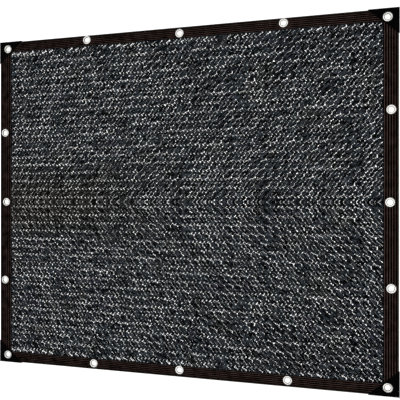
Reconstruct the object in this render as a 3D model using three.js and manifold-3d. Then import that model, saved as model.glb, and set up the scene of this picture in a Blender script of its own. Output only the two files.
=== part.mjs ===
// A shade cloth panel lying face up: knitted net, ribbed binding tape folded over its four
// edges, a reinforcement patch wrapped round each corner, and sixteen metal eyelets.
// Millimetres. X runs along the long sides, Y along the short ones, Z up off the ground.
import * as THREE from 'three';
import { mergeVertices } from 'three/addons/utils/BufferGeometryUtils.js';
import Module from 'manifold-3d';

const wasm = await Module();
wasm.setup();

// Panel
const panelLength = 1400;
const panelHeight = 1200;
const clearance = 0.3;

// Binding tape: webbing folded in half over the net's edge, ribbed on both faces
const longTapeWidth = 38;
const shortTapeWidth = 46;
const ribCount = 6;
const ribHeight = 0.5;
const ribFlatShare = 0.64;
const webThickness = 0.9;
const foldSteps = 6;

// Net: lies on the ground and climbs into the tapes at its rim
const netThickness = 1.4;
const netEdgeLongSide = 33.3;
const netEdgeShortSide = 35.5;
const netCornerDraw = 5.5;
const netSlope = 45;
const knitRowPitch = 30.4;
const knitRowRelief = 0.5;

// Eyelets: a flange in front, a barrel through the cloth and a flat washer behind
const holeRadius = 7.75;
const barrelRadius = 8.5;
const flangeRadius = 14.75;
const flangeRise = 1.3;
const washerRadius = 13.7;
const washerThickness = 0.5;
const barrelGap = 0.4;
const rimGap = 0.45;
const roundSteps = 16;

// Corner patches: a triangle in front, a wall round both edges and a narrow lip behind
const patchLongLeg = 90;
const patchShortLeg = 78;
const patchTip = 1.5;
const patchReach = 1.6;
const patchWall = 1.2;
const patchFront = 0.8;
const patchLip = 0.5;
const lipWidth = 9;

// How far a cutting tool runs past what it cuts
const overrun = 1;

// Heights of the stack, counted up from the ground
const leafThickness = ribHeight + webThickness;
const slotHeight = netThickness + 2 * clearance;
const tapeThickness = 2 * leafThickness + slotHeight;
const pressedTop = tapeThickness - ribHeight;
const pressedBottom = washerThickness + clearance;
const netRimHeight = leafThickness + clearance;
const patchBottom = pressedTop + clearance;
const patchTop = patchBottom + patchFront;

// Each side has its own frame: along it counter-clockwise, and inwards from its outer edge
const sides = [
  { name: 'bottom', turn: 0, x: 0, y: -panelHeight / 2, length: panelLength, width: longTapeWidth,
    eyelets: [{ along: -318, inset: 21 }, { along: 0, inset: 24 }, { along: 363, inset: 21 }] },
  { name: 'right', turn: Math.PI / 2, x: panelLength / 2, y: 0,
    length: panelHeight - 2 * (longTapeWidth + clearance), width: shortTapeWidth,
    eyelets: [{ along: -267, inset: 22.5 }, { along: 0, inset: 26 }, { along: 287, inset: 22.5 }] },
  { name: 'top', turn: Math.PI, x: 0, y: panelHeight / 2, length: panelLength, width: longTapeWidth,
    eyelets: [{ along: -350, inset: 16.5 }, { along: 0, inset: 21 }, { along: 345, inset: 16.5 }] },
  { name: 'left', turn: -Math.PI / 2, x: -panelLength / 2, y: 0,
    length: panelHeight - 2 * (longTapeWidth + clearance), width: shortTapeWidth,
    eyelets: [{ along: -260, inset: 20.5 }, { along: 0, inset: 26 }, { along: 293, inset: 20.5 }] },
];

// Each corner has its own frame too, with both of its axes running inwards along the edges
const cornerInsetLong = 33;
const cornerInsetShort = 26;
const corners = [
  { name: 'bottom_left', turn: 0, x: -1, y: -1, swapped: false },
  { name: 'bottom_right', turn: Math.PI / 2, x: 1, y: -1, swapped: true },
  { name: 'top_right', turn: Math.PI, x: 1, y: 1, swapped: false },
  { name: 'top_left', turn: -Math.PI / 2, x: -1, y: 1, swapped: true },
];

function finish(color, roughness, metalness) {
  return new THREE.MeshStandardMaterial({ color, roughness, metalness });
}

// Turns a closed geometry into a solid that can be cut
function toSolid(geometry) {
  const bare = geometry.index ? geometry.toNonIndexed() : geometry.clone();
  bare.deleteAttribute('normal');
  bare.deleteAttribute('uv');
  const merged = mergeVertices(bare, 1e-4);
  const vertProperties = new Float32Array(merged.attributes.position.array);
  const triVerts = new Uint32Array(merged.index.array);
  return new wasm.Manifold(new wasm.Mesh({ numProp: 3, vertProperties, triVerts }));
}

function toGeometry(solid) {
  const { vertProperties, triVerts } = solid.getMesh();
  const geometry = new THREE.BufferGeometry();
  geometry.setAttribute('position', new THREE.BufferAttribute(vertProperties, 3));
  geometry.setIndex(new THREE.BufferAttribute(triVerts, 1));
  geometry.computeVertexNormals();
  return geometry;
}

function cut(geometry, tools) {
  let solid = toSolid(geometry);
  for (const tool of tools) {
    solid = solid.subtract(toSolid(tool));
  }
  return toGeometry(solid);
}

function prism(points, bottom, top) {
  const outline = new THREE.Shape(points.map(([x, y]) => new THREE.Vector2(x, y)));
  const geometry = new THREE.ExtrudeGeometry(outline, { depth: top - bottom, bevelEnabled: false });
  return geometry.translate(0, 0, bottom);
}

function block(x0, y0, z0, x1, y1, z1) {
  const geometry = new THREE.BoxGeometry(x1 - x0, y1 - y0, z1 - z0);
  return geometry.translate((x0 + x1) / 2, (y0 + y1) / 2, (z0 + z1) / 2);
}

function disc(radius, bottom, top) {
  const geometry = new THREE.CylinderGeometry(radius, radius, top - bottom, roundSteps);
  return geometry.rotateX(Math.PI / 2).translate(0, 0, (top + bottom) / 2);
}

// Moves a geometry from the frame of a side or corner to the panel's own
function inFrame(geometry, frame) {
  return geometry.rotateZ(frame.turn).translate(frame.x, frame.y, 0);
}

// One face of the folded tape: raised ribs with a sharp groove between each two
function ribbedFace(start, width, crest, groove) {
  const points = [];
  const pitch = (width - start) / ribCount;
  const shoulder = pitch * (1 - ribFlatShare) / 2;
  for (let rib = 0; rib < ribCount; rib += 1) {
    const from = start + rib * pitch;
    if (rib > 0) {
      points.push([from, groove]);
    }
    points.push([from + (rib > 0 ? shoulder : 0), crest]);
    points.push([from + pitch - shoulder, crest]);
  }
  points.push([width, groove]);
  return points;
}

// Section of the folded tape: from the outer fold at 0 to the open mouth at its width
function tapeSection(width) {
  const foldRadius = tapeThickness / 2;
  const back = ribbedFace(foldRadius, width, 0, ribHeight);
  const front = ribbedFace(foldRadius, width, tapeThickness, pressedTop);
  const slot = [
    [width, tapeThickness - leafThickness],
    [foldRadius, tapeThickness - leafThickness],
    [leafThickness, foldRadius],
    [foldRadius, leafThickness],
    [width, leafThickness],
  ];
  const fold = [];
  for (let step = 1; step < foldSteps; step += 1) {
    const angle = Math.PI / 2 - (Math.PI * step) / foldSteps;
    fold.push([foldRadius * (1 - Math.cos(angle)), foldRadius * (1 + Math.sin(angle))]);
  }
  const points = [...back.reverse(), ...fold.reverse(), ...front, ...slot];
  return new THREE.Shape(points.map(([x, y]) => new THREE.Vector2(x, y)));
}

function tapeBlank(side) {
  const geometry = new THREE.ExtrudeGeometry(tapeSection(side.width), {
    depth: side.length,
    bevelEnabled: false,
  });
  const inward = new THREE.Vector3(0, 1, 0);
  const up = new THREE.Vector3(0, 0, 1);
  const along = new THREE.Vector3(1, 0, 0);
  geometry.applyMatrix4(new THREE.Matrix4().makeBasis(inward, up, along));
  return inFrame(geometry.translate(-side.length / 2, 0, 0), side);
}

// Room that an eyelet takes in the tape: its barrel, its washer and, on a bare tape, its flange
function eyeletRoom(x, y, onPatch) {
  const room = [
    disc(barrelRadius + barrelGap, -overrun, tapeThickness + overrun),
    disc(washerRadius + rimGap, -overrun, pressedBottom),
  ];
  if (!onPatch) {
    room.push(disc(flangeRadius + rimGap, pressedTop, tapeThickness + overrun));
  }
  return room.map((tool) => tool.translate(x, y, 0));
}

// Outline of a patch in its corner's frame, widened by margin on its open side
function patchOutline(legX, legY, margin) {
  return [
    [-patchReach, -patchReach],
    [legX + margin, -patchReach],
    [legX + margin, patchTip + margin],
    [patchTip + margin, legY + margin],
    [-patchReach, legY + margin],
  ];
}

function legs(corner) {
  return corner.swapped ? [patchShortLeg, patchLongLeg] : [patchLongLeg, patchShortLeg];
}

// The tape is pressed flat under a patch, in front and along the lip behind
function patchRoom(corner) {
  const [legX, legY] = legs(corner);
  const outline = patchOutline(legX, legY, clearance);
  const far = patchLongLeg + patchReach;
  const lipArea = lipWidth + clearance;
  const window = block(lipArea, lipArea, -2 * overrun, far, far, 2 * overrun);
  const lip = cut(prism(outline, -overrun, pressedBottom), [window]);
  const front = prism(outline, pressedTop, tapeThickness + overrun);
  return [front, lip].map((tool) => inFrame(tool, corner));
}

function patch(corner, place) {
  const [legX, legY] = legs(corner);
  const far = patchLongLeg + patchReach;
  const inner = patchWall - patchReach;
  const body = prism(patchOutline(legX, legY, 0), 0, patchTop);
  const pocket = block(inner, inner, patchLip, far, far, patchBottom);
  const window = block(lipWidth, lipWidth, -overrun, far, far, overrun);
  const hole = disc(barrelRadius + barrelGap, patchBottom - overrun, patchTop + overrun);
  return cut(body, [pocket, window, hole.translate(place.x, place.y, 0)]);
}

// Half section of an eyelet turned about its axis; its flange sits at seat. The flange has
// a flat land between its rolled rim and the rounded throat of the hole.
function eyelet(seat) {
  const lip = flangeRadius - holeRadius;
  const profile = [
    [holeRadius, washerThickness],
    [barrelRadius, 0],
    [washerRadius, 0],
    [washerRadius, washerThickness],
    [barrelRadius, washerThickness],
    [barrelRadius, seat],
    [flangeRadius, seat],
    [flangeRadius - 0.04 * lip, seat + 0.5 * flangeRise],
    [flangeRadius - 0.22 * lip, seat + flangeRise],
    [holeRadius + 0.3 * lip, seat + flangeRise],
    [holeRadius + 0.06 * lip, seat + 0.6 * flangeRise],
    [holeRadius, washerThickness],
  ];
  const points = profile.map(([r, z]) => new THREE.Vector2(r, z));
  return new THREE.LatheGeometry(points, roundSteps).rotateX(Math.PI / 2);
}

// The net is one thin sheet on a grid of stations. Its rows of knitting stand up as low ribs,
// its underside is flat, its rim climbs into the tapes and its corners are drawn in.
function netSheet() {
  const floorHalf = panelLength / 2 - shortTapeWidth - netSlope;
  const outwards = [floorHalf, floorHalf + netSlope / 2, floorHalf + netSlope];
  const xs = [...outwards, panelLength / 2 - netEdgeShortSide];
  xs.unshift(...xs.map((place) => -place).reverse());
  const mouth = panelHeight / 2 - longTapeWidth;
  const rows = Math.round(mouth / knitRowPitch);
  const ys = [-(panelHeight / 2 - netEdgeLongSide)];
  for (let half = -2 * rows; half <= 2 * rows; half += 1) {
    ys.push((mouth * half) / (2 * rows));
  }
  ys.push(panelHeight / 2 - netEdgeLongSide);
  const geometry = new THREE.BoxGeometry(1, 1, 1, xs.length - 1, ys.length - 1, 1);
  const position = geometry.attributes.position;
  for (let i = 0; i < position.count; i += 1) {
    const column = Math.round((position.getX(i) + 0.5) * (xs.length - 1));
    const row = Math.round((position.getY(i) + 0.5) * (ys.length - 1));
    let x = xs[column];
    let y = ys[row];
    const outer = Math.max(Math.abs(x) - floorHalf, Math.abs(y) - mouth + netSlope);
    const lift = netRimHeight * THREE.MathUtils.smoothstep(outer, 0, netSlope);
    const crest = row % 2 === 1 || row === 0 || row === ys.length - 1;
    const thickness = netThickness - (crest ? 0 : knitRowRelief);
    if (Math.abs(x) === xs.at(-1) && Math.abs(y) === ys.at(-1)) {
      x -= Math.sign(x) * netCornerDraw;
      y -= Math.sign(y) * netCornerDraw / 2;
    }
    position.setXYZ(i, x, y, lift + (position.getZ(i) > 0 ? thickness : 0));
  }
  geometry.computeVertexNormals();
  return geometry;
}

const group = new THREE.Group();

function add(parent, name, geometry, material) {
  const mesh = new THREE.Mesh(geometry, material);
  mesh.name = name;
  parent.add(mesh);
  return mesh;
}

add(group, 'net', netSheet(), finish(0x26282b, 0.6, 0));

// A corner eyelet's place in its corner's frame
function cornerEyelet(corner) {
  const place = { x: cornerInsetLong, y: cornerInsetShort };
  return corner.swapped ? { x: place.y, y: place.x } : place;
}

for (const corner of corners) {
  corner.x *= panelLength / 2;
  corner.y *= panelHeight / 2;
}

// Everything that presses into the tapes, in the panel's frame
const rooms = corners.flatMap((corner) => {
  const { x, y } = cornerEyelet(corner);
  return [...patchRoom(corner), ...eyeletRoom(x, y, true).map((tool) => inFrame(tool, corner))];
});
for (const side of sides) {
  for (const { along, inset } of side.eyelets) {
    rooms.push(...eyeletRoom(along, inset, false).map((tool) => inFrame(tool, side)));
  }
}

for (const side of sides) {
  add(group, `binding_${side.name}`, cut(tapeBlank(side), rooms), finish(0x1d1513, 0.8, 0));
  const frame = new THREE.Group();
  frame.position.set(side.x, side.y, 0);
  frame.rotation.z = side.turn;
  side.eyelets.forEach(({ along, inset }, index) => {
    const mesh = add(frame, `eyelet_${side.name}_${index + 1}`, eyelet(patchBottom),
      finish(0xdfe1e2, 0.3, 1));
    mesh.position.set(along, inset, 0);
  });
  group.add(frame);
}

for (const corner of corners) {
  const place = cornerEyelet(corner);
  const frame = new THREE.Group();
  frame.position.set(corner.x, corner.y, 0);
  frame.rotation.z = corner.turn;
  add(frame, `patch_${corner.name}`, patch(corner, place), finish(0x0a0a0a, 0.5, 0));
  const mesh = add(frame, `eyelet_${corner.name}`, eyelet(patchTop + clearance),
    finish(0xdfe1e2, 0.3, 1));
  mesh.position.set(place.x, place.y, 0);
  group.add(frame);
}

export default group;
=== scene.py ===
import math
import random

import bmesh
import bpy
from mathutils import Matrix, Vector, noise


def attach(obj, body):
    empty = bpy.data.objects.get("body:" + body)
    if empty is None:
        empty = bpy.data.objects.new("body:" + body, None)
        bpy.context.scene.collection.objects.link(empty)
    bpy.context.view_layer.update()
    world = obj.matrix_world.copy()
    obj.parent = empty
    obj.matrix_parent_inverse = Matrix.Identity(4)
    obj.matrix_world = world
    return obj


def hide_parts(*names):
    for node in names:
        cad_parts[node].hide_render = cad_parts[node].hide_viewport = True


# A black shade cloth panel lying face up: knitted net, ribbed binding tape folded over its
# edges, a patch round each corner and sixteen bright eyelets. All sizes are in metres.
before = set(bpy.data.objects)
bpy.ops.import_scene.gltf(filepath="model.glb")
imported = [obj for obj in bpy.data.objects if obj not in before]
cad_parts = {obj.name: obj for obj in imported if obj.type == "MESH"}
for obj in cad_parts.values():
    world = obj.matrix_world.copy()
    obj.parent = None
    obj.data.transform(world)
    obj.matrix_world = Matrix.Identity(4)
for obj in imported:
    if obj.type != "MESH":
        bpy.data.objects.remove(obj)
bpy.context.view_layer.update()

# Half the panel's length and height, out to the tapes' folds, and the corner patches' front legs
panel = {"halfX": 0.7, "halfY": 0.6, "patchX": 0.090, "patchY": 0.078}


# Helpers for meshes and pieces
def meshFrom(name, bm):
    mesh = bpy.data.meshes.new(name)
    bm.to_mesh(mesh)
    bm.free()
    return mesh


def finishPiece(name, bm, material, replaced=(), smooth=True):
    return placePiece(name, meshFrom(name, bm), material, replaced, smooth)


def placePiece(name, mesh, material, replaced=(), smooth=True):
    mesh.materials.clear()
    mesh.materials.append(material)
    mesh.polygons.foreach_set("use_smooth", [smooth] * len(mesh.polygons))
    piece = bpy.data.objects.new(name, mesh)
    bpy.context.scene.collection.objects.link(piece)
    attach(piece, "root")
    if replaced:
        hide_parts(*replaced)
    return piece


def cutWith(mesh, cutter):
    holder = bpy.data.objects.new("holder", mesh)
    bpy.context.scene.collection.objects.link(holder)
    cut = holder.modifiers.new("holes", "BOOLEAN")
    cut.operation = "DIFFERENCE"
    cut.solver = "EXACT"
    cut.object = cutter
    graph = bpy.context.evaluated_depsgraph_get()
    done = bpy.data.meshes.new_from_object(holder.evaluated_get(graph))
    bpy.data.objects.remove(holder)
    return done


# Helpers for materials
def hexColor(text):
    parts = [int(text[i:i + 2], 16) / 255 for i in (1, 3, 5)]
    linear = [c / 12.92 if c <= 0.04045 else ((c + 0.055) / 1.055) ** 2.4 for c in parts]
    return (*linear, 1.0)


def newMaterial(name):
    material = bpy.data.materials.new(name)
    material.use_nodes = True
    tree = material.node_tree
    tree.nodes.clear()
    return material, tree


# Settings are the node's inputs, by name or place, or else its properties
def addNode(tree, kind, settings=None, links=None):
    node = tree.nodes.new(kind)
    for key, value in (settings or {}).items():
        if isinstance(key, int) or key in node.inputs:
            node.inputs[key].default_value = value
        else:
            setattr(node, key, value)
    for key, source in (links or {}).items():
        tree.links.new(source, node.inputs[key])
    return node


def rampStops(node, stops):
    ramp = node.color_ramp
    while len(ramp.elements) < len(stops):
        ramp.elements.new(0.5)
    for element, (place, color) in zip(ramp.elements, stops):
        element.position = place
        element.color = hexColor(color)


# The scale at which a wave texture's bands lie this far apart
def bandScale(apart):
    return 2 * math.pi / 20 / apart


# Drawn polythene tape, black: a dull gloss, with painted sheen: light streaks along the strips
# stand in for strips that catch the light, and the dark between them for strips in shade. The
# streaks are coarser than real ones, so that they show, and those of the lower half mirror the
# upper ones. The tint drifts between blue and grey over 60 to 150 mm, and is warmer at the middle of the
# left side.
polythene = {
    "streakTurn": 38,                       # degrees, in the upper half
    "streakSize": (0.014, 0.004, 0.004),    # along and across
    "streakFrom": 0.455,                    # noise where a streak begins, and where it is brightest
    "streakTo": 0.70,
    "streakBright": 1.85,
    "tintScale": 9.0,
    "tints": [(0.36, "#444547"), (0.46, "#3e444a"), (0.56, "#3c454c"), (0.68, "#42424e")],
    "warmTint": "#423f3a",
    "warmShare": 0.9,
    "warmHigh": (0.02, 0.20),               # fades out between these heights from the middle
    "warmAcross": (-0.50, 0.15),            # and between these places across
    "specular": 0.025,
}


def drawnPolythene(name, rough):
    material, tree = newMaterial(name)
    place = addNode(tree, "ShaderNodeTexCoord")
    apart = addNode(tree, "ShaderNodeSeparateXYZ", None, {"Vector": place.outputs["Object"]})
    height = addNode(tree, "ShaderNodeMath", {"operation": "ABSOLUTE"}, {0: apart.outputs["Y"]})
    mirrored = addNode(tree, "ShaderNodeCombineXYZ", None,
                       {"X": apart.outputs["X"], "Y": height.outputs["Value"], "Z": apart.outputs["Z"]})
    turn = (0.0, 0.0, math.radians(polythene["streakTurn"]))
    along = addNode(tree, "ShaderNodeMapping",
                    {"vector_type": "TEXTURE", "Rotation": turn, "Scale": polythene["streakSize"]},
                    {"Vector": mirrored.outputs["Vector"]})
    streak = addNode(tree, "ShaderNodeTexNoise", {"Scale": 1.0, "Detail": 2.0, "Roughness": 0.6},
                     {"Vector": along.outputs["Vector"]})
    # painted sheen and shade: the streak noise scales the colour from black up to bright
    paintedSheen = addNode(tree, "ShaderNodeMapRange",
                   {"From Min": polythene["streakFrom"], "From Max": polythene["streakTo"],
                    "To Min": 0.0, "To Max": polythene["streakBright"]},
                   {"Value": streak.outputs["Fac"]})
    wander = addNode(tree, "ShaderNodeTexNoise", {"Scale": polythene["tintScale"], "Detail": 2.0},
                     {"Vector": place.outputs["Object"]})
    tint = addNode(tree, "ShaderNodeValToRGB", None, {"Fac": wander.outputs["Fac"]})
    rampStops(tint, polythene["tints"])
    middle = addNode(tree, "ShaderNodeMapRange",
                     {"interpolation_type": "SMOOTHSTEP",
                      "From Min": polythene["warmHigh"][0], "From Max": polythene["warmHigh"][1],
                      "To Min": polythene["warmShare"], "To Max": 0.0},
                     {"Value": height.outputs["Value"]})
    left = addNode(tree, "ShaderNodeMapRange",
                   {"interpolation_type": "SMOOTHSTEP",
                    "From Min": polythene["warmAcross"][0], "From Max": polythene["warmAcross"][1],
                    "To Min": 1.0, "To Max": 0.0},
                   {"Value": apart.outputs["X"]})
    warm = addNode(tree, "ShaderNodeMath", {"operation": "MULTIPLY"},
                   {0: middle.outputs["Result"], 1: left.outputs["Result"]})
    mixed = addNode(tree, "ShaderNodeMix", {"data_type": "RGBA", 7: hexColor(polythene["warmTint"])},
                    {0: warm.outputs["Value"], 6: tint.outputs["Color"]})
    color = addNode(tree, "ShaderNodeVectorMath", {"operation": "SCALE"},
                    {0: mixed.outputs[2], "Scale": paintedSheen.outputs["Result"]})
    bump = addNode(tree, "ShaderNodeBump", {"Strength": 0.35, "Distance": 0.0006},
                   {"Height": streak.outputs["Fac"]})
    skin = addNode(tree, "ShaderNodeBsdfPrincipled",
                   {"Roughness": rough, "IOR": 1.5, "Specular IOR Level": polythene["specular"]},
                   {"Base Color": color.outputs["Vector"], "Normal": bump.outputs["Normal"]})
    addNode(tree, "ShaderNodeOutputMaterial", None, {"Surface": skin.outputs["BSDF"]})
    return material


# Woven polyester webbing, dyed very dark brown: matt, with a painted highlight in red brown on the
# crowns of its ribs and painted shade, near black, in the grooves, the crowns painted lighter toward
# the right, and a little olive toward the folded edge. The weft is three times coarser than it is, so that
# it shows.
weave = {
    "weft": 0.0024,
    # from painted shade in the grooves, near black, up to painted highlight on the crowns, red brown
    "tints": [(0.35, "#020101"), (0.75, "#150c0a"), (1.0, "#745d56")],
    "paintedCrownLeft": 0.58,
    "paintedCrownRight": 0.74,
    "olive": "#11110b",
    "oliveShare": 0.55,
    "specular": 0.02,
}


def wovenWebbing():
    material, tree = newMaterial("wovenWebbing")
    place = addNode(tree, "ShaderNodeTexCoord")
    weft = addNode(tree, "ShaderNodeTexWave",
                   {"wave_type": "BANDS", "bands_direction": "X", "Scale": bandScale(weave["weft"]),
                    "Distortion": 0.6, "Detail": 1.0, "Detail Scale": 2.0},
                   {"Vector": place.outputs["UV"]})
    wear = addNode(tree, "ShaderNodeTexNoise", {"Scale": 45.0, "Detail": 3.0},
                   {"Vector": place.outputs["UV"]})
    mixed = addNode(tree, "ShaderNodeMath", {"operation": "MULTIPLY"},
                    {0: weft.outputs["Fac"], 1: wear.outputs["Fac"]})
    # painted highlight on the ribs' crowns and painted shade in the grooves, from the crown attribute,
    # stronger toward the right
    height = addNode(tree, "ShaderNodeAttribute", {"attribute_name": "crown"})
    apart = addNode(tree, "ShaderNodeSeparateXYZ", None, {"Vector": place.outputs["Object"]})
    paintedCrownAcross = addNode(tree, "ShaderNodeMapRange",
                     {"From Min": -panel["halfX"], "From Max": panel["halfX"],
                      "To Min": weave["paintedCrownLeft"], "To Max": weave["paintedCrownRight"]},
                     {"Value": apart.outputs["X"]})
    crown = addNode(tree, "ShaderNodeMath", {"operation": "MULTIPLY_ADD"},
                    {0: height.outputs["Fac"], 1: paintedCrownAcross.outputs["Result"], 2: mixed.outputs["Value"]})
    tint = addNode(tree, "ShaderNodeValToRGB", None, {"Fac": crown.outputs["Value"]})
    rampStops(tint, weave["tints"])
    outer = addNode(tree, "ShaderNodeAttribute", {"attribute_name": "outer"})
    faded = addNode(tree, "ShaderNodeMath", {"operation": "MULTIPLY", 1: weave["oliveShare"]},
                    {0: outer.outputs["Fac"]})
    color = addNode(tree, "ShaderNodeMix", {"data_type": "RGBA", 7: hexColor(weave["olive"])},
                    {0: faded.outputs["Value"], 6: tint.outputs["Color"]})
    bump = addNode(tree, "ShaderNodeBump", {"Strength": 0.5, "Distance": 0.0003},
                   {"Height": weft.outputs["Fac"]})
    skin = addNode(tree, "ShaderNodeBsdfPrincipled",
                   {"Roughness": 0.75, "IOR": 1.5, "Specular IOR Level": weave["specular"]},
                   {"Base Color": color.outputs[2], "Normal": bump.outputs["Normal"]})
    addNode(tree, "ShaderNodeOutputMaterial", None, {"Surface": skin.outputs["BSDF"]})
    return material


# Smooth coated fabric, black: almost no colour of its own and a dull, even surface.
def coatedFabric():
    material, tree = newMaterial("coatedFabric")
    place = addNode(tree, "ShaderNodeTexCoord")
    grain = addNode(tree, "ShaderNodeTexNoise", {"Scale": 500.0, "Detail": 2.0},
                    {"Vector": place.outputs["Object"]})
    tint = addNode(tree, "ShaderNodeValToRGB", None, {"Fac": grain.outputs["Fac"]})
    rampStops(tint, [(0.3, "#020202"), (0.7, "#060505")])
    bump = addNode(tree, "ShaderNodeBump", {"Strength": 0.2, "Distance": 0.0002},
                   {"Height": grain.outputs["Fac"]})
    skin = addNode(tree, "ShaderNodeBsdfPrincipled",
                   {"Roughness": 0.6, "IOR": 1.5, "Specular IOR Level": 0.03},
                   {"Base Color": tint.outputs["Color"], "Normal": bump.outputs["Normal"]})
    addNode(tree, "ShaderNodeOutputMaterial", None, {"Surface": skin.outputs["BSDF"]})
    return material


# Pressed aluminium, bright: nearly a mirror, with faint rubbed marks from the press, and
# painted shade, a light grey, in the throat of an eyelet.
def pressedAluminium():
    material, tree = newMaterial("pressedAluminium")
    place = addNode(tree, "ShaderNodeTexCoord")
    rub = addNode(tree, "ShaderNodeTexNoise", {"Scale": 300.0, "Detail": 3.0},
                  {"Vector": place.outputs["Object"]})
    tint = addNode(tree, "ShaderNodeValToRGB", None, {"Fac": rub.outputs["Fac"]})
    rampStops(tint, [(0.3, "#efeee9"), (0.7, "#faf9f5")])
    # painted shade: the throat is coloured a light grey
    throatShade = addNode(tree, "ShaderNodeAttribute", {"attribute_name": "throatShade"})
    color = addNode(tree, "ShaderNodeMix", {"data_type": "RGBA", 7: hexColor("#c4c3bf")},
                    {0: throatShade.outputs["Fac"], 6: tint.outputs["Color"]})
    gloss = addNode(tree, "ShaderNodeMapRange",
                    {"From Min": 0.3, "From Max": 0.7, "To Min": 0.16, "To Max": 0.30},
                    {"Value": rub.outputs["Fac"]})
    bump = addNode(tree, "ShaderNodeBump", {"Strength": 0.1, "Distance": 0.0001},
                   {"Height": rub.outputs["Fac"]})
    skin = addNode(tree, "ShaderNodeBsdfPrincipled", {"Metallic": 1.0},
                   {"Base Color": color.outputs[2], "Roughness": gloss.outputs["Result"],
                    "Normal": bump.outputs["Normal"]})
    addNode(tree, "ShaderNodeOutputMaterial", None, {"Surface": skin.outputs["BSDF"]})
    return material


# Spun polyester sewing thread, dark brown and matt, twisted every 1.2 mm.
def sewingThread():
    material, tree = newMaterial("sewingThread")
    place = addNode(tree, "ShaderNodeTexCoord")
    turned = addNode(tree, "ShaderNodeMapping", {"Rotation": (0.0, 0.0, math.radians(35))},
                     {"Vector": place.outputs["Object"]})
    twist = addNode(tree, "ShaderNodeTexWave",
                    {"wave_type": "BANDS", "bands_direction": "X", "Scale": bandScale(0.0012)},
                    {"Vector": turned.outputs["Vector"]})
    tint = addNode(tree, "ShaderNodeValToRGB", None, {"Fac": twist.outputs["Fac"]})
    rampStops(tint, [(0.2, "#140d0c"), (0.8, "#3a2b27")])
    bump = addNode(tree, "ShaderNodeBump", {"Strength": 0.4, "Distance": 0.0002},
                   {"Height": twist.outputs["Fac"]})
    skin = addNode(tree, "ShaderNodeBsdfPrincipled", {"Roughness": 0.7, "IOR": 1.5},
                   {"Base Color": tint.outputs["Color"], "Normal": bump.outputs["Normal"]})
    addNode(tree, "ShaderNodeOutputMaterial", None, {"Surface": skin.outputs["BSDF"]})
    return material


inlayFinish = drawnPolythene("drawnPolytheneTape", 0.38)
chainFinish = drawnPolythene("drawnPolytheneThread", 0.30)
webbingFinish = wovenWebbing()
patchFinish = coatedFabric()
eyeletFinish = pressedAluminium()
threadFinish = sewingThread()
print("materials made")


# The net: laid strips, thin strips under them, chains of loops along the rows, and one thread
# along the middle of each band between rows. The part above the middle is made, then mirrored.
net = {
    "stitch": 0.0132,        # from one strip to the next, which is half of a whole repeat
    "firstRow": 0.016,       # from the middle of the panel to the first row
    "lowPitch": 0.0296,      # rows near the middle
    "lowCount": 8,
    "highStart": 0.2425,     # after one narrow band, the rows of the upper part
    "highPitch": 0.0304,
    "highCount": 12,
    "rowShift": 0.0047,      # each row stands this much to the right of the one below
    "spread": 0.66,          # left and right values hold this far from the middle
    "edgeX": 0.6645,         # the net's own edges, inside the folds
    "edgeY": 0.5667,
    "corner": 0.0055,        # its upper corners are cut off by this much, clear of the eyelets
    "slotX": 0.654,          # the tapes' inner edges
    "slotY": 0.562,
    "riseReach": 0.045,      # over this width the net rises into the tapes' slots
    "rise": 0.0017,
    "squeeze": 0.22,         # and is pressed flatter by this share
    "lowest": 0.0001,        # heights over the ground that it keeps
    "rowWander": 0.0016,     # how far the strips' rows wander up and down
    "beyond": 0.02,          # strands start and end this far beyond the edges, where they are trimmed
    "seed": 11,
}
laidStrip = {
    "startLeft": 0.045,      # the first strip starts this far left of the edge and leans back over it
    "leftRun": 0.027,        # how far a strip leans over one band, left and right
    "rightRun": 0.030,
    "runDrift": 0.004,
    "ess": 0.40,             # how much flatter a strip lies at its rows than between them
    "stray": 0.0006,         # how far a strip strays sideways
    "height": 0.00095,
    "overlap": 0.05,         # how far closed strips lap over each other, as a share of their spacing
    "thinnest": 0.12,        # width that is left of a strip between two wide slits, as such a share
    "baseRoll": 6,           # degrees
    "roll": 26,              # degrees that a strip turns over beyond that, at the most
}
slit = {
    "low": 0.395,            # mean width of the slits between strips, as a share of their spacing:
    "mid": 0.285,            # just over a row, and half way up to the next
    "lowTurns": 0.75,        # every second slit is this much wider, and the others as much narrower
    "midTurns": 0.6,
    "differ": 0.40,          # how much the slits differ, as a share of their mean width
    "lowPlace": 0.15,        # how far up the band the two kinds of slit stand
    "midPlace": 0.61,
    "lastPlace": 0.30,       # the first kind in the last band, which the tape covers in part
    "lowStray": 0.04,        # how much these places drift, and more so at the left
    "midStray": 0.08,
    "leftLoose": 0.3,
    "lowShake": 0.02,        # how much they differ from strip to strip
    "midShake": 0.04,
    "bottom": 0.05,          # no slit stands lower or higher in the band than this,
    "top": 0.84,
    "between": 0.30,         # or the two kinds nearer to each other than this
    "reach": 0.15,           # a slit closes this far above its widest place
    "foot": 0.14,            # and the second kind opens this far below it
    "rest": 0.01,            # and this far above the end of the first kind, at least
    "moreLeft": 0.30,        # wider at the left edge by this share than at the right one
    "drift": 0.04,           # and wandering by this share
    "warmX": -0.15,          # the warm grey place is denser, left of this and below this
    "warmY": 0.11,
    "warmLess": 0.36,
    "besideY": 0.54,         # and so is the last band, beside the tapes
    "besideLess": 0.12,
}
underStrip = {
    "lean": 0.012,           # to the left over one band, across the strips above
    "leanStray": 0.003,
    "stray": 0.1,            # as a share of the strips' spacing
    "wide": 0.0027,
    "wideDrift": 0.0010,
    "endWide": 0.7,          # width at the rows, as a share of that between them
    "height": 0.00035,
    "roll": -3,
}
chainLoop = {
    "points": 8,
    "across": 0.0034,
    "up": 0.0026,
    "smallest": 0.85,        # the loops' sizes, as shares
    "largest": 1.15,
    "rowDrift": 0.0008,
    "height": 0.00115,
    "rise": 0.00025,
    "thick": 0.0012,
}
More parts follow.
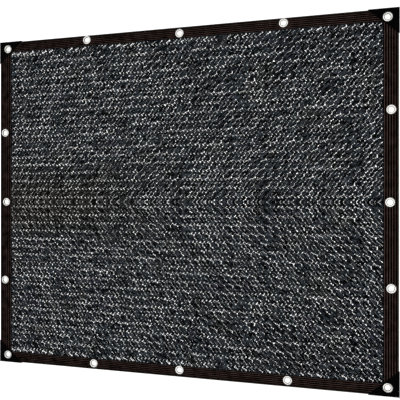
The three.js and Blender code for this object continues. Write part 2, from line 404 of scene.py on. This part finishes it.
middleThread = {
    "points": 4,             # to one spacing of the strips
    "swing": 0.0022,
    "least": 0.7,            # its swings, as shares
    "most": 1.3,
    "phase": 0.6,
    "rowDrift": 0.001,
    "height": 0.00135,
    "rise": 0.0002,
    "thick": 0.0011,
}


# From the row just below the middle, which mirrors the one above it, to the last at the top
def rowHeights():
    low = [net["firstRow"] + net["lowPitch"] * k for k in range(net["lowCount"])]
    high = [net["highStart"] + net["highPitch"] * k for k in range(net["highCount"])]
    return [-net["firstRow"]] + low + high


# A smooth wander between about -1 and 1 that changes over this size. Each use has its own layer.
def drift(x, y, size, layer):
    return noise.noise(Vector((x / size, y / size, 7.3 * layer)))


# A strand is a row of points, each as x, y, z, width and roll
def strandMesh(strands, section):
    outline = bpy.data.curves.new("section", "CURVE")
    outline.dimensions = "2D"
    ring = outline.splines.new("POLY")
    ring.points.add(len(section) - 1)
    for point, (across, up) in zip(ring.points, section):
        point.co = (across, up, 0.0, 1.0)
    ring.use_cyclic_u = True
    ringObject = bpy.data.objects.new("section", outline)
    bpy.context.scene.collection.objects.link(ringObject)
    curve = bpy.data.curves.new("strands", "CURVE")
    curve.dimensions = "3D"
    curve.twist_mode = "Z_UP"
    curve.bevel_mode = "OBJECT"
    curve.bevel_object = ringObject
    curve.use_fill_caps = True
    for strand in strands:
        spline = curve.splines.new("POLY")
        spline.points.add(len(strand) - 1)
        spline.points.foreach_set("co", [c for x, y, z, width, roll in strand for c in (x, y, z, 1.0)])
        spline.points.foreach_set("radius", [width for x, y, z, width, roll in strand])
        spline.points.foreach_set("tilt", [roll for x, y, z, width, roll in strand])
    curveObject = bpy.data.objects.new("strands", curve)
    bpy.context.scene.collection.objects.link(curveObject)
    graph = bpy.context.evaluated_depsgraph_get()
    mesh = bpy.data.meshes.new_from_object(curveObject.evaluated_get(graph))
    bpy.data.objects.remove(curveObject)
    bpy.data.objects.remove(ringObject)
    return mesh


# 0 at the left edge, 1 at the right
def shareAcross(x):
    return min(1.0, max(0.0, (x + net["spread"]) / (2 * net["spread"])))


def bandRun(x, y):
    lean = laidStrip["leftRun"] + (laidStrip["rightRun"] - laidStrip["leftRun"]) * shareAcross(x)
    return lean + laidStrip["runDrift"] * drift(x, y, 0.09, 1)


# How open the net is here, where 1 is the mean at its right edge
def openness(x, y):
    share = 1 + slit["moreLeft"] * (1 - shareAcross(x)) + slit["drift"] * drift(x, y, 0.05, 9)
    if x < slit["warmX"] and y < slit["warmY"]:
        share -= slit["warmLess"]
    if y > slit["besideY"]:
        share -= slit["besideLess"]
    return share


# The widest places of one slit, just over the row and half way up
def slitWidths(chance, i, row):
    turn = 1 if i % 2 == 0 else -1
    share = openness(i * net["stitch"], row)
    widths = []
    for kind in ("low", "mid"):
        mean = share * slit[kind] * (1 + turn * slit[kind + "Turns"])
        widths.append(max(0.0, chance.gauss(1, slit["differ"])) * mean)
    return widths


# Places up the band where a strip's edges turn, each with the slits to its left and right
def stripSteps(chance, x, row, lowPlace, left, right):
    loose = 1 + slit["leftLoose"] * (1 - shareAcross(x))
    lowAt = lowPlace + slit["lowStray"] * loose * drift(x, row, 0.03, 2)
    lowAt = max(slit["bottom"], lowAt + chance.uniform(-1, 1) * slit["lowShake"])
    midAt = slit["midPlace"] + slit["midStray"] * loose * drift(x, row, 0.03, 3)
    midAt += chance.uniform(-1, 1) * slit["midShake"]
    midAt = min(slit["top"], max(midAt, lowAt + slit["between"]))
    closed = lowAt + slit["reach"]
    shut = -laidStrip["overlap"]
    return [(0.0, shut, shut),
            (lowAt, left[0], right[0]),
            (closed, shut, shut),
            (max(midAt - slit["foot"], closed + slit["rest"]), shut, shut),
            (midAt, left[1], right[1]),
            (midAt + slit["reach"], shut, shut),
            (1.0, shut, shut)]


def inlayStrands():
    chance = random.Random(net["seed"])
    rows = rowHeights()
    strands = []
    for k in range(len(rows) - 1):
        low, high = rows[k], rows[k + 1]
        shift = net["rowShift"] * k
        lowPlace = slit["lowPlace"] if high < net["edgeY"] else slit["lastPlace"]
        first = math.floor((-net["edgeX"] - laidStrip["startLeft"] - shift) / net["stitch"])
        last = math.ceil((net["edgeX"] - shift) / net["stitch"])
        slits = [slitWidths(chance, i, low) for i in range(first, last + 2)]
        for i in range(first, last + 1):
            x = i * net["stitch"] + shift
            run = bandRun(x, low)
            points = []
            left, right = slits[i - first], slits[i - first + 1]
            for t, before, after in stripSteps(chance, x, low, lowPlace, left, right):
                px = x + run * (t + laidStrip["ess"] * math.sin(2 * math.pi * t) / (2 * math.pi))
                px += net["stitch"] * (before - after) / 4 + chance.uniform(-1, 1) * laidStrip["stray"]
                py = low + (high - low) * t + net["rowWander"] * drift(px, low, 0.05, 8)
                slope = math.atan2(high - low, run * (1 + laidStrip["ess"] * math.cos(2 * math.pi * t)))
                width = max(laidStrip["thinnest"], 1 - (before + after) / 2) * net["stitch"]
                roll = math.radians(laidStrip["baseRoll"] + laidStrip["roll"] * drift(px, py, 0.012, 4))
                points.append((px, py, laidStrip["height"], width * math.sin(slope), roll))
            strands.append(points)
    return strands


def underStrands():
    chance = random.Random(net["seed"] + 1)
    rows = rowHeights()
    strands = []
    for k in range(len(rows) - 1):
        low, high = rows[k], rows[k + 1]
        shift = net["rowShift"] * k
        first = math.floor((-net["edgeX"] - shift) / net["stitch"]) - 1
        last = math.ceil((net["edgeX"] + net["beyond"] - shift) / net["stitch"])
        for i in range(2 * first, 2 * last + 1):
            x = (i / 2 + chance.uniform(-1, 1) * underStrip["stray"]) * net["stitch"] + shift
            lean = underStrip["lean"] + chance.uniform(-1, 1) * underStrip["leanStray"]
            wide = underStrip["wide"] + underStrip["wideDrift"] * drift(x, low, 0.03, 5)
            points = []
            for t in (0.0, 0.35, 0.65, 1.0):
                share = underStrip["endWide"] if t in (0.0, 1.0) else 1.0
                points.append((x - lean * t, low + (high - low) * t, underStrip["height"], wide * share,
                               math.radians(underStrip["roll"])))
            strands.append(points)
    return strands


# Where the points of a strand along a row stand
def alongRow(perStitch, shift=0.0):
    reach = net["edgeX"] + net["beyond"]
    count = int(2 * reach / net["stitch"]) + 1
    return [-reach + shift + net["stitch"] * j / perStitch for j in range(count * perStitch)]


def chainStrands():
    chance = random.Random(net["seed"] + 2)
    strands = []
    for k, row in enumerate(rowHeights()):
        if row < 0:
            continue
        points = []
        for j, x in enumerate(alongRow(chainLoop["points"], net["rowShift"] * k % net["stitch"])):
            if j % chainLoop["points"] == 0:
                size = chance.uniform(chainLoop["smallest"], chainLoop["largest"])
            turn = 2 * math.pi * j / chainLoop["points"]
            px = x + chainLoop["across"] * size * math.sin(turn)
            py = row + chainLoop["up"] * size * math.cos(turn)
            py += chainLoop["rowDrift"] * drift(x, row, 0.05, 6)
            points.append((px, py, chainLoop["height"] + chainLoop["rise"] * math.cos(turn),
                           chainLoop["thick"], 0.0))
        strands.append(points)
    return strands


def middleStrands():
    chance = random.Random(net["seed"] + 3)
    rows = rowHeights()
    strands = []
    for k in range(1, len(rows) - 1):
        row = (rows[k] + rows[k + 1]) / 2
        points = []
        for j, x in enumerate(alongRow(middleThread["points"])):
            turn = 2 * math.pi * j / middleThread["points"]
            swing = middleThread["swing"] * math.sin(turn + middleThread["phase"])
            swing *= chance.uniform(middleThread["least"], middleThread["most"])
            points.append((x, row + swing + middleThread["rowDrift"] * drift(x, row, 0.06, 7),
                           middleThread["height"] + middleThread["rise"] * math.cos(turn),
                           middleThread["thick"], 0.0))
        strands.append(points)
    return strands


# 0 on the open net, 1 where it lies in the tapes' slots, and smooth between
def netLift(x, y):
    inner = min(net["slotX"] - abs(x), net["slotY"] - abs(y))
    share = min(1.0, max(0.0, 1 - inner / net["riseReach"]))
    return share * share * (3 - 2 * share)


def trimAndMirror(mesh):
    bm = bmesh.new()
    bm.from_mesh(mesh)
    bpy.data.meshes.remove(mesh)
    bmesh.ops.remove_doubles(bm, verts=bm.verts[:], dist=1e-7)      # joins each strand's ends to it
    cuts = [((0, 0, 0), (0, -1, 0)), ((0, net["edgeY"], 0), (0, 1, 0)),
            ((net["edgeX"], 0, 0), (1, 0, 0)), ((-net["edgeX"], 0, 0), (-1, 0, 0)),
            ((net["edgeX"] - net["corner"], net["edgeY"], 0), (1, 1, 0)),
            ((-net["edgeX"] + net["corner"], net["edgeY"], 0), (-1, 1, 0))]
    for point, away in cuts:
        geometry = bm.verts[:] + bm.edges[:] + bm.faces[:]
        made = bmesh.ops.bisect_plane(bm, geom=geometry, plane_co=point, plane_no=away,
                                      dist=1e-7, clear_outer=True)
        rim = [e for e in made["geom_cut"] if isinstance(e, bmesh.types.BMEdge) and e.is_boundary]
        if away != (0, -1, 0):                      # the cut along the middle stays open for its mirror
            bmesh.ops.holes_fill(bm, edges=rim, sides=0)
    for vert in bm.verts:
        lift = netLift(vert.co.x, vert.co.y)
        lifted = vert.co.z * (1 - net["squeeze"] * lift) + net["rise"] * lift
        vert.co.z = max(net["lowest"], lifted)
    bmesh.ops.mirror(bm, geom=bm.verts[:] + bm.edges[:] + bm.faces[:], axis="Y", merge_dist=1e-6)
    bmesh.ops.holes_fill(bm, edges=[e for e in bm.edges if e.is_boundary], sides=0)
    bmesh.ops.recalc_face_normals(bm, faces=bm.faces[:])
    return bm


# A strand's cross section, across and up, as shares of its width
stripSection = [(-0.5, -0.03), (0.5, -0.03), (0.0, 0.075)]
threadSection = [(-0.5, -0.29), (0.5, -0.29), (0.0, 0.58)]


def netPiece(name, strands, section, finish, replaced=()):
    return finishPiece(name, trimAndMirror(strandMesh(strands, section)), finish, replaced)


inlay = netPiece("net_inlay", inlayStrands(), stripSection, inlayFinish, ["net"])
inlay.data.set_sharp_from_angle(angle=math.radians(20))     # a drawn strip creases along its middle
under = netPiece("net_under_inlay", underStrands(), stripSection, inlayFinish)
chain = netPiece("net_chains", chainStrands(), threadSection, chainFinish)
middle = netPiece("net_middle_threads", middleStrands(), threadSection, chainFinish)
print("net made")


# The binding tapes: ribbed webbing, folded over the net's edge and pressed flat by the eyelets
tape = {
    "ribs": 6,
    "ribPoints": 8,         # across each rib
    "crownShare": 0.36,     # how much of a rib's pitch its light crown takes
    "ribHigh": 0.0005,
    "oliveShare": 0.4,      # how much of the width the olive edge takes
    "back": 0.00015,        # heights over the ground: outer faces, then the slot between
    "front": 0.00465,
    "slotLow": 0.00138,
    "slotHigh": 0.00342,
    "pressedFront": 0.0043,
    "pressedBack": 0.0008,
    "fold": 0.0024,         # the middle of the fold's curve, inward from the panel's edge and up
    "foldOut": 0.00225,     # and the curve's reach, outward, and up and down
    "foldUp": 0.00210,
    "slotEnd": 0.0034,      # inward from the panel's edge
    "lip": 0.0003,          # the rounding of the inner edges
    "wide": 0.020,          # spacing of the cross sections, and near eyelets and corners
    "close": 0.0035,
    "corner": 0.004,
    "hole": 0.0089,         # radius of the holes cut for the eyelets' barrels
    "frontPress": 0.0158,   # radius that an eyelet presses flat, in front and behind
    "backPress": 0.0146,
    "patchPress": 0.0015,   # a patch presses this far beyond its own edge,
    "patchLip": 0.011,      # and its lip behind this far inward
}
# Each side: its turn, outer edge, length and width, and its eyelets as (along, inset). The short
# sides' tapes end just before the long sides' ones.
sides = {
    "bottom": (0, (0.0, -panel["halfY"]), 1.4, 0.038, [(-0.318, 0.021), (0.0, 0.024), (0.363, 0.021)]),
    "right": (90, (panel["halfX"], 0.0), 1.1234, 0.046, [(-0.267, 0.0225), (0.0, 0.026), (0.287, 0.0225)]),
    "top": (180, (0.0, panel["halfY"]), 1.4, 0.038, [(-0.350, 0.0165), (0.0, 0.021), (0.345, 0.0165)]),
    "left": (-90, (-panel["halfX"], 0.0), 1.1234, 0.046, [(-0.260, 0.0205), (0.0, 0.026), (0.293, 0.0205)]),
}
cornerEyelets = {"bottom_left": (-0.667, -0.574), "bottom_right": (0.667, -0.574),
                 "top_right": (0.667, 0.574), "top_left": (-0.667, 0.574)}


def sideMatrix(side):
    turn, edge = sides[side][:2]
    return Matrix.Translation((edge[0], edge[1], 0)) @ Matrix.Rotation(math.radians(turn), 4, "Z")


def ribCrown(inset, width):
    pitch = width / tape["ribs"]
    away = abs((inset / pitch) % 1 - 0.5) * 2          # 0 on a crown, 1 in a groove
    return 0.5 + 0.5 * math.cos(math.pi * min(1.0, away / (2 * tape["crownShare"])))


# One section across the tape, as inset, height and crown: back, fold, front, then the slot
def webSection(width):
    fold = tape["fold"]
    count = tape["ribs"] * tape["ribPoints"]
    insets = [fold + (width - fold) * i / count for i in range(count + 1)]
    points = []
    for inset in reversed(insets):
        crown = ribCrown(inset, width)
        points.append((inset, tape["back"] + tape["ribHigh"] * (1 - crown), crown))
    for i in range(1, 8):
        turn = math.pi * i / 8
        out, up = tape["foldOut"] * math.sin(turn), -tape["foldUp"] * math.cos(turn)
        points.append((fold - out, fold + up, 0.4))
    for inset in insets:
        crown = ribCrown(inset, width)
        points.append((inset, tape["front"] - tape["ribHigh"] * (1 - crown), crown))
    slot = [tape["slotEnd"] + (width - 0.004) * i / 6 for i in range(0, 7, 2)]
    points.append((width - tape["lip"], tape["slotHigh"] + 0.0001, 0.0))
    points += [(inset, tape["slotHigh"], 0.0) for inset in reversed(slot)]
    points.append((fold, fold, 0.0))
    points += [(inset, tape["slotLow"], 0.0) for inset in slot]
    points.append((width - tape["lip"], tape["slotLow"] - 0.0001, 0.0))
    return points


# Where along the tape its sections stand
def tapeStations(length, eyelets):
    half = length / 2
    close = [along + (step + 0.5) * tape["close"] for along, inset in eyelets for step in range(-6, 6)]
    close += [end * (half - step * tape["corner"]) for end in (-1, 1) for step in range(0, 24)]
    wide = [-half + tape["wide"] * i for i in range(int(length / tape["wide"]) + 1)]
    wide = [w for w in wide if min(abs(w - c) for c in close) > tape["corner"]]
    kept = []
    for station in sorted(close + wide):
        if not kept or station - kept[-1] > 0.0008:
            kept.append(station)
    return kept


def patchCovers(x, y, grow):
    inX, inY = panel["halfX"] - abs(x), panel["halfY"] - abs(y)
    return inX / (panel["patchX"] + grow) + inY / (panel["patchY"] + grow) < 1


def eyeletPlaces(side):
    return [sideMatrix(side) @ Vector((along, inset, 0)) for along, inset in sides[side][4]]


def cornerPlaces():
    return [Vector((x, y, 0)) for x, y in cornerEyelets.values()]


def pressTape(bm, side):
    centers = eyeletPlaces(side) + cornerPlaces()
    for vert in bm.verts:                        # flat under eyelets and patches, in front and behind
        if tape["slotLow"] - 0.0002 < vert.co.z < tape["slotHigh"] + 0.0002:
            continue                             # the slot's faces stay
        away = min((vert.co.xy - center.xy).length for center in centers)
        x, y = vert.co.x, vert.co.y
        covered = patchCovers(x, y, tape["patchPress"])
        edge = min(panel["halfX"] - abs(x), panel["halfY"] - abs(y))
        if away < tape["frontPress"] or covered:
            vert.co.z = min(vert.co.z, tape["pressedFront"])
        if away < tape["backPress"] or (covered and edge < tape["patchLip"]):
            vert.co.z = max(vert.co.z, tape["pressedBack"])


def tapeMesh(side):
    length, width, eyelets = sides[side][2:]
    bm = bmesh.new()
    crownLayer = bm.verts.layers.float.new("crown")
    outerLayer = bm.verts.layers.float.new("outer")
    pathLayer = bm.verts.layers.float.new("path")
    stations = tapeStations(length, eyelets)
    ring, path, last = [], 0.0, None
    for inset, z, crown in webSection(width):
        vert = bm.verts.new((stations[0], inset, z))
        path += 0 if last is None else (vert.co - last).length
        last = vert.co.copy()
        # the crown share also sets the webbing's painted highlight and shade
        vert[crownLayer], vert[pathLayer] = crown, path
        vert[outerLayer] = max(0.0, 1 - inset / (tape["oliveShare"] * width))
        ring.append(vert)
    start = face = bm.faces.new(ring)
    for before, station in zip(stations, stations[1:]):
        made = bmesh.ops.extrude_face_region(bm, geom=[face])["geom"]
        if face.is_valid and face != start:
            bm.faces.remove(face)                # the last section would stay inside the tape
        face = next(g for g in made if isinstance(g, bmesh.types.BMFace))
        bmesh.ops.translate(bm, vec=(station - before, 0, 0), verts=face.verts[:])
    uv = bm.loops.layers.uv.new("weave")
    for each in bm.faces:
        for loop in each.loops:
            loop[uv].uv = (loop.vert.co.x, loop.vert[pathLayer])
    bmesh.ops.transform(bm, matrix=sideMatrix(side), verts=bm.verts[:])
    pressTape(bm, side)
    bmesh.ops.recalc_face_normals(bm, faces=bm.faces[:])
    return meshFrom("tape_" + side, bm)


# Turned a little, so that no cut runs along an edge of the tape
def holeCutter():
    bm = bmesh.new()
    radius = tape["hole"]
    for place in cornerPlaces() + [place for side in sides for place in eyeletPlaces(side)]:
        bmesh.ops.create_cone(bm, cap_ends=True, segments=32, radius1=radius, radius2=radius, depth=0.03,
                              matrix=Matrix.Translation(place) @ Matrix.Rotation(0.05, 4, "Z"))
    cutter = bpy.data.objects.new("holes", meshFrom("holes", bm))
    bpy.context.scene.collection.objects.link(cutter)
    return cutter


cutter = holeCutter()
webbings = {side: placePiece("webbing_" + side, cutWith(tapeMesh(side), cutter), webbingFinish,
                             ["binding_" + side]) for side in sides}
bpy.data.objects.remove(cutter)
print("binding tapes made")


# The corner patches keep their solids' form, with the edges rounded
patch = {"edgeRound": 0.00035, "rounds": 2, "sharp": 0.6}     # edges bent by more radians are rounded


def patchMesh(node):
    bm = bmesh.new()
    bm.from_mesh(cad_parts[node].data)
    bmesh.ops.remove_doubles(bm, verts=bm.verts[:], dist=1e-6)
    bmesh.ops.dissolve_limit(bm, angle_limit=0.01, verts=bm.verts[:], edges=bm.edges[:])
    sharp = [e for e in bm.edges if e.is_manifold and e.calc_face_angle(0) > patch["sharp"]]
    bmesh.ops.bevel(bm, geom=sharp, offset=patch["edgeRound"], offset_type="OFFSET", affect="EDGES",
                    segments=patch["rounds"], profile=0.5, material=-1, clamp_overlap=True)
    bmesh.ops.dissolve_degenerate(bm, dist=1e-6, edges=bm.edges[:])
    bmesh.ops.recalc_face_normals(bm, faces=bm.faces[:])
    return bm


patches = {corner: finishPiece("coated_patch_" + corner, patchMesh("patch_" + corner), patchFinish,
                               ["patch_" + corner], smooth=False) for corner in cornerEyelets}
print("corner patches made")


# The eyelets: a funnel in front, a barrel and a washer behind, pressed together
eyelet = {
    "rings": 64,
    "sideSeat": 0.0046,      # height of what the flange lies on: a tape, or a patch on a tape
    "cornerSeat": 0.0057,
    "hole": 0.00775,         # radii of the hole, flange, barrel and washer
    "flange": 0.01475,
    "barrel": 0.0085,
    "washer": 0.0137,
}


# The profile is given as radius and height: washer, barrel, flange, then the throat from the top down
def eyeletMesh(seat, place):
    outer, hole, barrel, washer = eyelet["flange"], eyelet["hole"], eyelet["barrel"], eyelet["washer"]
    profile = [(hole + 0.0006, 0.0), (washer - 0.0005, 0.0), (washer - 0.00008, 0.00012),
               (washer, 0.0003), (washer - 0.0002, 0.0005), (barrel + 0.0005, 0.0005),
               (barrel, 0.0008), (barrel, seat - 0.0022), (barrel + 0.0004, seat - 0.0012),
               (barrel + 0.0012, seat), (outer - 0.0007, seat),
               (outer - 0.00015, seat + 0.00018), (outer, seat + 0.00045),
               (outer - 0.0001, seat + 0.0008), (outer - 0.0005, seat + 0.00112),
               (outer - 0.0012, seat + 0.0013), (barrel + 0.0017, seat + 0.0013),
               (barrel + 0.0013, seat + 0.00115), (barrel + 0.0008, seat + 0.0006),
               (barrel + 0.0003, seat - 0.0001), (hole + 0.00055, seat - 0.0010),
               (hole + 0.00012, seat - 0.0018), (hole, seat - 0.0026), (hole, 0.0010),
               (hole + 0.00012, 0.0004), (hole + 0.0003, 0.00012)]
    bm = bmesh.new()
    throatShadeLayer = bm.verts.layers.float.new("throatShade")
    verts = [bm.verts.new((r, 0, z)) for r, z in profile]
    # marks the throat for the finish's painted shade
    for vert in verts:
        vert[throatShadeLayer] = 1.0 if vert.co.x < barrel + 0.0014 and vert.co.z > 0.0012 else 0.0
    edges = [bm.edges.new((verts[i - 1], verts[i])) for i in range(len(verts))]
    bmesh.ops.spin(bm, geom=verts + edges, cent=(0, 0, 0), axis=(0, 0, 1), angle=2 * math.pi,
                   steps=eyelet["rings"], use_merge=True)
    bmesh.ops.remove_doubles(bm, verts=bm.verts[:], dist=1e-7)
    bmesh.ops.recalc_face_normals(bm, faces=bm.faces[:])
    bmesh.ops.translate(bm, vec=place, verts=bm.verts[:])
    return bm


def eyeletPiece(node, seat, place):
    return finishPiece("pressed_" + node, eyeletMesh(seat, place), eyeletFinish, [node])


sideEyelets = {side: [eyeletPiece(f"eyelet_{side}_{number}", eyelet["sideSeat"], place)
                      for number, place in enumerate(eyeletPlaces(side), 1)] for side in sides}
tipEyelets = {corner: eyeletPiece("eyelet_" + corner, eyelet["cornerSeat"], (x, y, 0))
              for corner, (x, y) in cornerEyelets.items()}
print("eyelets made")


# A lockstitch along each tape's inner edge, front and back
stitching = {
    "inset": 0.0025,         # outward from the tape's inner edge
    "spacing": 0.0042,
    "length": 0.0032,
    "thick": 0.0007,
    "high": 0.00056,
    "halfLong": 0.647,       # half the rows' lengths, on the long and short sides
    "halfShort": 0.556,
    "faces": 24,             # of one stitch
}


def stitchRow(side, z):
    width = sides[side][3]
    half = stitching["halfLong"] if side in ("bottom", "top") else stitching["halfShort"]
    bm = bmesh.new()
    size = Matrix.Diagonal((stitching["length"] / 2, stitching["thick"] / 2, stitching["high"] / 2, 1))
    place = Matrix.Translation((-half, width - stitching["inset"], z))
    bmesh.ops.create_uvsphere(bm, u_segments=6, v_segments=4, radius=1, matrix=place @ size)
    count, made = int(2 * half / stitching["spacing"]), 1
    while made < count:                 # each round copies all the stitches made so far, or the rest
        take = min(made, count - made)
        copied = bmesh.ops.duplicate(bm, geom=bm.faces[:][:take * stitching["faces"]])["geom"]
        verts = [g for g in copied if isinstance(g, bmesh.types.BMVert)]
        bmesh.ops.translate(bm, vec=(made * stitching["spacing"], 0, 0), verts=verts)
        made += take
    bmesh.ops.transform(bm, matrix=sideMatrix(side), verts=bm.verts[:])
    return meshFrom("row", bm)


def stitchRows():
    bm = bmesh.new()
    for side in sides:
        for z in (tape["front"] - 0.00012, tape["back"] + 0.00018):
            bm.from_mesh(stitchRow(side, z))
    return bm


stitches = finishPiece("stitching", stitchRows(), threadFinish)
print("stitching made")


# Camera, light and floor
view = {
    "place": (0.3835, 0.0070, 1.4214),
    "turn": math.radians(12.39),     # it looks this much to the left of straight down
    "lens": 38.49,
}
camera = bpy.data.cameras.new("camera")
camera.lens = view["lens"]
camera.sensor_width = 36.0      # lens and sensor in millimetres
camera.clip_end = 30.0
cameraObject = bpy.data.objects.new("camera", camera)
bpy.context.scene.collection.objects.link(cameraObject)
cameraObject.matrix_world = Matrix.Translation(view["place"]) @ Matrix.Rotation(view["turn"], 4, "Y")
bpy.context.scene.camera = cameraObject

light = {
    "boxSize": (4.2, 3.6),
    "boxPlace": (-0.6, 0.0, 2.4),
    "boxWatts": 51.0,
    "world": 0.10,
    "floorHalf": 6.0,        # a white sheet just under the cloth, with a glow of its own
    "floorDown": 0.0005,
    "floorGlow": 0.80,
}


def softbox(name, size, place, watts):
    lamp = bpy.data.lights.new(name, "AREA")
    lamp.shape = "RECTANGLE"
    lamp.size, lamp.size_y = size
    lamp.energy = watts
    lampObject = bpy.data.objects.new(name, lamp)
    bpy.context.scene.collection.objects.link(lampObject)
    lampObject.location = place


softbox("overhead", light["boxSize"], light["boxPlace"], light["boxWatts"])

world = bpy.data.worlds.new("studio")
bpy.context.scene.world = world
world.use_nodes = True
world.node_tree.nodes["Background"].inputs["Color"].default_value = (1, 1, 1, 1)
world.node_tree.nodes["Background"].inputs["Strength"].default_value = light["world"]
bpy.context.scene.view_settings.view_transform = "Standard"

floorBm = bmesh.new()
bmesh.ops.create_grid(floorBm, x_segments=1, y_segments=1, size=light["floorHalf"],
                      matrix=Matrix.Translation((0, 0, -light["floorDown"])))
floorMesh = meshFrom("floor", floorBm)
floor = bpy.data.objects.new("floor", floorMesh)
bpy.context.scene.collection.objects.link(floor)
floorFinish, floorTree = newMaterial("whitePaper")
floorSkin = addNode(floorTree, "ShaderNodeBsdfPrincipled",
                    {"Base Color": hexColor("#f4f4f4"), "Roughness": 0.9,
                     "Emission Color": (1, 1, 1, 1), "Emission Strength": light["floorGlow"]})
addNode(floorTree, "ShaderNodeOutputMaterial", None, {"Surface": floorSkin.outputs["BSDF"]})
floorMesh.materials.append(floorFinish)
print("camera, light and floor made")
